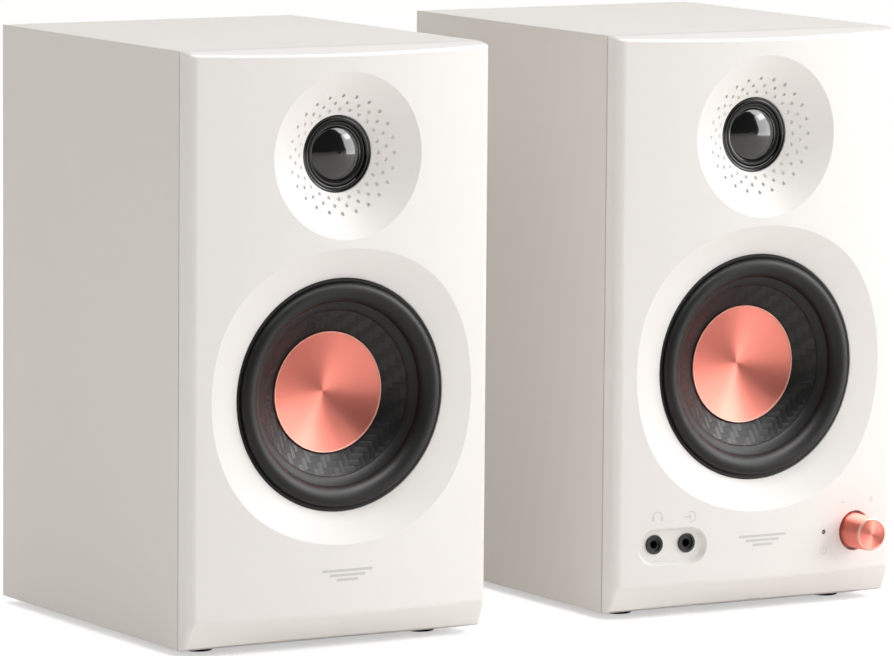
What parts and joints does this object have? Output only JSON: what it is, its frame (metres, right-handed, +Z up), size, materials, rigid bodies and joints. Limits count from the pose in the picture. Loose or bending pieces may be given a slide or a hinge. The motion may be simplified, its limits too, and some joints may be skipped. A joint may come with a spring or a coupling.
{
  "type": "desktop speaker pair",
  "caption": "Pair of two-way desktop monitor speakers with bowed white fronts, copper-toned woofer caps, and front jacks and a volume knob on the powered one.",
  "frame": {"origin": "on the desk, midway between the two speakers and midway between the foremost point (the volume knob) and the rearmost (the tone knobs)", "axes": "+X toward the powered speaker (the viewer's right), +Y to the back, +Z up; the fronts face -Y"},
  "size_m": [0.343, 0.2006, 0.248],
  "materials": {
    "white_wrap": "fine vinyl wrap over wood, satin",
    "white_moulding": "satin",
    "black_rubber": "matt",
    "black_plastic": "satin",
    "black_gloss": "gloss",
    "woven_cone": "woven twill under clear resin",
    "copper_metal": "spun and anodised",
    "steel": "zinc plated",
    "ferrite": "matt",
    "coil_copper": "enamelled wire",
    "cloth": "treated cloth",
    "wadding": "loose",
    "black_metal": "fine powder coat",
    "circuit_board": "solder mask",
    "nickel": "plated",
    "lamp_plastic": "clear",
    "red_plastic": "gloss"
  },
  "bodies": {
    "right_speaker": {"right_cabinet": "white_wrap", "right_feet": "black_rubber", "right_rear_panel": "white_wrap", "right_port_tube": "black_plastic", "right_damping_pad": "wadding", "right_screws": "steel", "right_front_baffle": "white_moulding", "right_woofer_basket": "black_metal", "right_woofer_surround": "black_rubber", "right_spider": "cloth", "right_woofer_magnet": "ferrite", "right_woofer_poles": "steel", "right_tweeter_frame": "black_gloss", "right_tweeter_roll": "black_rubber", "right_tweeter_motor": "steel", "right_amp_plate": "black_metal", "right_plate_screws": "steel", "right_amp_board": "circuit_board", "right_power_inlet": "black_plastic", "right_rocker_frame": "black_plastic", "right_front_board": "circuit_board", "right_front_jacks": "black_plastic", "right_led_lens": "lamp_plastic", "right_trs_sockets": "nickel", "right_rca_sockets": "nickel", "right_terminal_block": "black_plastic"},
    "left_speaker": {"left_cabinet": "white_wrap", "left_feet": "black_rubber", "left_rear_panel": "white_wrap", "left_port_tube": "black_plastic", "left_damping_pad": "wadding", "left_screws": "steel", "left_front_baffle": "white_moulding", "left_woofer_basket": "black_metal", "left_woofer_surround": "black_rubber", "left_spider": "cloth", "left_woofer_magnet": "ferrite", "left_woofer_poles": "steel", "left_tweeter_frame": "black_gloss", "left_tweeter_roll": "black_rubber", "left_tweeter_motor": "steel", "left_terminal_block": "black_plastic", "left_crossover_board": "circuit_board"},
    "right_woofer_moving": {"right_woofer_cone": "woven_cone", "right_dust_cap": "copper_metal", "right_voice_coil": "coil_copper"},
    "right_tweeter_moving": {"right_tweeter_dome": "black_gloss"},
    "right_red_terminal_lever": {"right_red_lever": "red_plastic"},
    "right_black_terminal_lever": {"right_black_lever": "black_gloss"},
    "left_woofer_moving": {"left_woofer_cone": "woven_cone", "left_dust_cap": "copper_metal", "left_voice_coil": "coil_copper"},
    "left_tweeter_moving": {"left_tweeter_dome": "black_gloss"},
    "left_red_terminal_lever": {"left_red_lever": "red_plastic"},
    "left_black_terminal_lever": {"left_black_lever": "black_gloss"},
    "volume_control": {"right_volume_shaft": "steel", "right_volume_knob": "copper_metal"},
    "treble_control": {"right_treble_knob": "black_plastic"},
    "bass_control": {"right_bass_knob": "black_plastic"},
    "power_switch": {"right_power_rocker": "black_gloss"}
  },
  "joints": [
    {"name": "left_speaker_place", "type": "slide", "parent": "right_speaker", "child": "left_speaker", "axis": [-1, 0, 0], "range_m": [0, 0.2]},
    {"name": "right_woofer_travel", "type": "slide", "parent": "right_speaker", "child": "right_woofer_moving", "axis": [0, -1, 0], "range_m": [-0.003, 0.003], "stiffness_N_per_m": 900, "deforming": ["right_woofer_surround", "right_spider"]},
    {"name": "right_tweeter_travel", "type": "slide", "parent": "right_speaker", "child": "right_tweeter_moving", "axis": [0, -1, 0], "range_m": [-0.0003, 0.0003], "stiffness_N_per_m": 1500, "deforming": ["right_tweeter_roll"]},
    {"name": "left_woofer_travel", "type": "slide", "parent": "left_speaker", "child": "left_woofer_moving", "axis": [0, -1, 0], "range_m": [-0.003, 0.003], "stiffness_N_per_m": 900, "deforming": ["left_woofer_surround", "left_spider"]},
    {"name": "left_tweeter_travel", "type": "slide", "parent": "left_speaker", "child": "left_tweeter_moving", "axis": [0, -1, 0], "range_m": [-0.0003, 0.0003], "stiffness_N_per_m": 1500, "deforming": ["left_tweeter_roll"]},
    {"name": "volume_turn", "type": "hinge", "parent": "right_speaker", "child": "volume_control", "pos_m": [0.1509, -0.09315, 0.032], "axis": [0, 1, 0], "range_deg": [-150, 150]},
    {"name": "treble_turn", "type": "hinge", "parent": "right_speaker", "child": "treble_control", "pos_m": [0.0775, 0.09685, 0.104], "axis": [0, -1, 0], "range_deg": [-150, 150]},
    {"name": "bass_turn", "type": "hinge", "parent": "right_speaker", "child": "bass_control", "pos_m": [0.1255, 0.09685, 0.104], "axis": [0, -1, 0], "range_deg": [-150, 150]},
    {"name": "power_rock", "type": "hinge", "parent": "right_speaker", "child": "power_switch", "pos_m": [0.1255, 0.08585, 0.076], "axis": [1, 0, 0], "range_deg": [-8, 8]},
    {"name": "right_red_lever_press", "type": "hinge", "parent": "right_speaker", "child": "right_red_terminal_lever", "pos_m": [0.0735, 0.08585, 0.073], "axis": [-1, 0, 0], "range_deg": [0, 16], "stiffness_Nm_per_rad": 0.02},
    {"name": "right_black_lever_press", "type": "hinge", "parent": "right_speaker", "child": "right_black_terminal_lever", "pos_m": [0.0895, 0.08585, 0.073], "axis": [-1, 0, 0], "range_deg": [0, 16], "stiffness_Nm_per_rad": 0.02},
    {"name": "left_red_lever_press", "type": "hinge", "parent": "left_speaker", "child": "left_red_terminal_lever", "pos_m": [-0.1095, 0.08385, 0.095], "axis": [-1, 0, 0], "range_deg": [0, 16], "stiffness_Nm_per_rad": 0.02},
    {"name": "left_black_lever_press", "type": "hinge", "parent": "left_speaker", "child": "left_black_terminal_lever", "pos_m": [-0.0935, 0.08385, 0.095], "axis": [-1, 0, 0], "range_deg": [0, 16], "stiffness_Nm_per_rad": 0.02}
  ]
}
